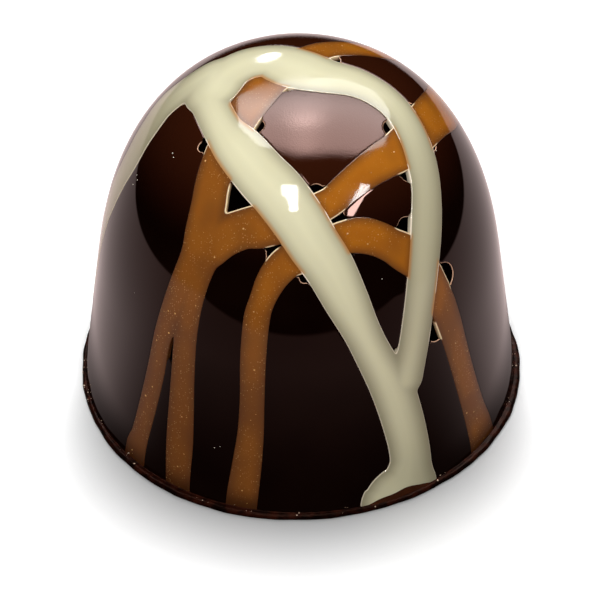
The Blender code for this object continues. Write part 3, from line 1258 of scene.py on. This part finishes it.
class PRALINE_OT_stage(bpy.types.Operator):
    """Make the pale floor, the soft lamps, the surroundings and the camera."""

    bl_idname = "praline.stage"
    bl_label = "Stage"

    def execute(self, context):
        scene = context.scene
        stage = scene.praline_stage
        scene.view_settings.view_transform = "Standard"
        scene.view_settings.look = "None"
        make_floor()
        make_surroundings(scene)
        ceiling_lamp("key", (0.1, 0.6), (1.5, 1.25), KEY_REACH, 1.72)
        ceiling_lamp("front_key", (-0.16, -1.05), (1.1, 0.8), KEY_REACH, 6.6)
        hot_spot = (ceiling_points([HOT_SPOT], OCTABOX_REACH)[0], HOT_SPOT_RADIUS, 22.0)
        glowing_panel("octabox", ceiling_points(OCTABOX, OCTABOX_REACH), 16.5, hot_spot)
        glowing_panel("window", ceiling_points(WINDOW, WINDOW_REACH), 60.0)
        glowing_panel("side_window", ceiling_points(SIDE_WINDOW, WINDOW_REACH), 60.0)
        oval = [(-0.058 + 0.026 * math.cos(i * math.pi / 6), 0.5,
                 0.222 + 0.045 * math.sin(i * math.pi / 6)) for i in range(12)]
        glowing_panel("back_spot", oval, 20.0)
        make_camera(scene, stage)
        return {"FINISHED"}


def make_floor():
    """A wide pale table.

    Seen directly it is white with a soft shadow round the foot: the lamps' own shadow, with painted
    shadow added, darkest in front. In the praline's own shine and bounce it glows instead of being lit,
    which is painted light: a pale card of limited size, even at the sides, with painted shadow in front
    and close round its foot, where the praline shades it.
    """
    turn = np.arange(96) * 2 * math.pi / 96
    ring = np.column_stack([1.5 * np.cos(turn), 1.5 * np.sin(turn), np.zeros(96)])
    mesh = bpy.data.meshes.new("table")
    mesh.from_pydata(ring, [], [list(range(96))])
    material, tree, shader = new_material("pale_table")
    tree.nodes.remove(shader)
    place = add_node(tree, "ShaderNodeTexCoord").outputs["Object"]
    split = add_node(tree, "ShaderNodeSeparateXYZ", {"Vector": place})
    inside = None
    for axis, low, high in CARD:
        for edge, side in ((low, 1), (high, -1)):
            ends = (edge - 4) * MM, (edge + 4) * MM
            step = remap(tree, split.outputs[axis], *ends, *((0, 1) if side > 0 else (1, 0)))
            inside = step if inside is None else arithmetic(tree, "MULTIPLY", inside, step)
    reach = add_node(tree, "ShaderNodeVectorMath", {0: place}, operation="LENGTH").outputs["Value"]
    forward = arithmetic(tree, "DIVIDE", split.outputs["Y"], reach)
    in_front = remap(tree, forward, -0.05, -0.8)
    # Painted shadow in the glowing card: dim in front, dimmest close to the foot, and dim right beside
    # the foot at the sides.
    painted_front_shadow = remap(tree, reach, FOOT_RADIUS + 2 * MM, FOOT_RADIUS + 24 * MM, 0.03, 0.46)
    beside = remap(tree, reach, FOOT_RADIUS, FOOT_RADIUS + 3 * MM, 0.25, 0.92)
    # Painted shadow: the white paper darkens towards the foot, reaching furthest out in front.
    spread = remap(tree, forward, 0.0, -0.9, FOOT_RADIUS + 0.6 * MM, FOOT_RADIUS + 6.0 * MM)
    painted_contact_shadow = add_node(tree, "ShaderNodeMapRange", {"Value": reach, "From Min": FOOT_RADIUS - 2 * MM,
                                                    "From Max": spread, "To Min": 0.3, "To Max": 1.3})
    paper = add_node(tree, "ShaderNodeBsdfDiffuse", {"Color": painted_contact_shadow.outputs["Result"]})
    card = add_node(tree, "ShaderNodeMix", data_type="FLOAT")
    sockets = [socket for socket in card.inputs if socket.type == "VALUE"]
    for socket, value in zip(sockets, (in_front, beside, painted_front_shadow)):
        feed(tree, socket, value)
    level = arithmetic(tree, "MULTIPLY", card.outputs[0], inside)
    # Painted light: the table glows for the praline's shine and bounce instead of being lit.
    glow = add_node(tree, "ShaderNodeEmission", {"Color": (1.0, 0.8, 0.78, 1.0), "Strength": level})
    path = add_node(tree, "ShaderNodeLightPath")
    mixed = add_node(tree, "ShaderNodeMixShader", {"Fac": path.outputs["Is Camera Ray"]})
    tree.links.new(glow.outputs["Emission"], mixed.inputs[1])
    tree.links.new(paper.outputs["BSDF"], mixed.inputs[2])
    output = next(n for n in tree.nodes if n.type == "OUTPUT_MATERIAL")
    tree.links.new(mixed.outputs["Shader"], output.inputs["Surface"])
    mesh.materials.append(material)
    table = bpy.data.objects.new("table", mesh)
    bpy.context.scene.collection.objects.link(table)


def make_surroundings(scene):
    """White behind the praline, a dark room in its shine, and an even fill for its colours."""
    world = bpy.data.worlds.new("studio")
    world.use_nodes = True
    tree = world.node_tree
    tree.nodes.clear()
    path = add_node(tree, "ShaderNodeLightPath")
    room = add_node(tree, "ShaderNodeBackground", {"Color": (1, 1, 1, 1), "Strength": 0.19})
    dim = add_node(tree, "ShaderNodeBackground", {"Color": (1, 1, 1, 1), "Strength": 0.0})
    white = add_node(tree, "ShaderNodeBackground", {"Color": (1, 1, 1, 1), "Strength": 1.0})
    shine = add_node(tree, "ShaderNodeMixShader", {"Fac": path.outputs["Is Glossy Ray"]})
    tree.links.new(room.outputs[0], shine.inputs[1])
    tree.links.new(dim.outputs[0], shine.inputs[2])
    seen = add_node(tree, "ShaderNodeMixShader", {"Fac": path.outputs["Is Camera Ray"]})
    tree.links.new(shine.outputs[0], seen.inputs[1])
    tree.links.new(white.outputs[0], seen.inputs[2])
    output = add_node(tree, "ShaderNodeOutputWorld")
    tree.links.new(seen.outputs[0], output.inputs["Surface"])
    scene.world = world


def make_camera(scene, stage):
    """A long lens level with the praline's middle, looking along +Y and down."""
    camera = bpy.data.cameras.new("camera")
    camera.lens = stage.lens
    camera.sensor_width = 36.0
    camera.clip_start = 0.01
    shown = bpy.data.objects.new("camera", camera)
    rise, aim = stage.elevation, Vector((0.002 * FOOT_RADIUS, 0.0, 0.384 * FOOT_RADIUS))
    forward = Vector((0.0, math.cos(rise), -math.sin(rise)))
    across, up = Vector((1.0, 0.0, 0.0)), Vector((0.0, math.sin(rise), math.cos(rise)))
    turned_across = across * math.cos(stage.roll) - up * math.sin(stage.roll)
    turned_up = up * math.cos(stage.roll) + across * math.sin(stage.roll)
    place = aim - forward * stage.distance
    shown.matrix_world = Matrix((
        (turned_across.x, turned_up.x, -forward.x, place.x),
        (turned_across.y, turned_up.y, -forward.y, place.y),
        (turned_across.z, turned_up.z, -forward.z, place.z),
        (0.0, 0.0, 0.0, 1.0),
    ))
    scene.collection.objects.link(shown)
    scene.camera = shown


class PRALINE_PT_panel(bpy.types.Panel):
    """Lists the praline's pieces in the order in which they are made."""

    bl_idname = "PRALINE_PT_panel"
    bl_label = "Praline"
    bl_space_type = "VIEW_3D"
    bl_region_type = "UI"
    bl_category = "Praline"

    def draw(self, context):
        for operator in OPERATORS:
            self.layout.operator(operator.bl_idname)


OPERATORS = (
    PRALINE_OT_casting,
    PRALINE_OT_closing_layer,
    PRALINE_OT_caramel_streaks,
    PRALINE_OT_white_streaks,
    PRALINE_OT_small_things,
    PRALINE_OT_stage,
)
GROUPS = (PralineSizes, PralineColours, PralineStage)


def register():
    for kind in (*GROUPS, *OPERATORS, PRALINE_PT_panel):
        bpy.utils.register_class(kind)
    bpy.types.Scene.praline_sizes = PointerProperty(type=PralineSizes)
    bpy.types.Scene.praline_colours = PointerProperty(type=PralineColours)
    bpy.types.Scene.praline_stage = PointerProperty(type=PralineStage)


def unregister():
    del bpy.types.Scene.praline_stage
    del bpy.types.Scene.praline_colours
    del bpy.types.Scene.praline_sizes
    for kind in (PRALINE_PT_panel, *reversed(OPERATORS), *reversed(GROUPS)):
        bpy.utils.unregister_class(kind)


def main():
    register()
    bpy.ops.praline.casting()
    bpy.ops.praline.closing_layer()
    bpy.ops.praline.caramel_streaks()
    bpy.ops.praline.white_streaks()
    bpy.ops.praline.small_things()
    bpy.ops.praline.stage()


if __name__ == "__main__":
    main()
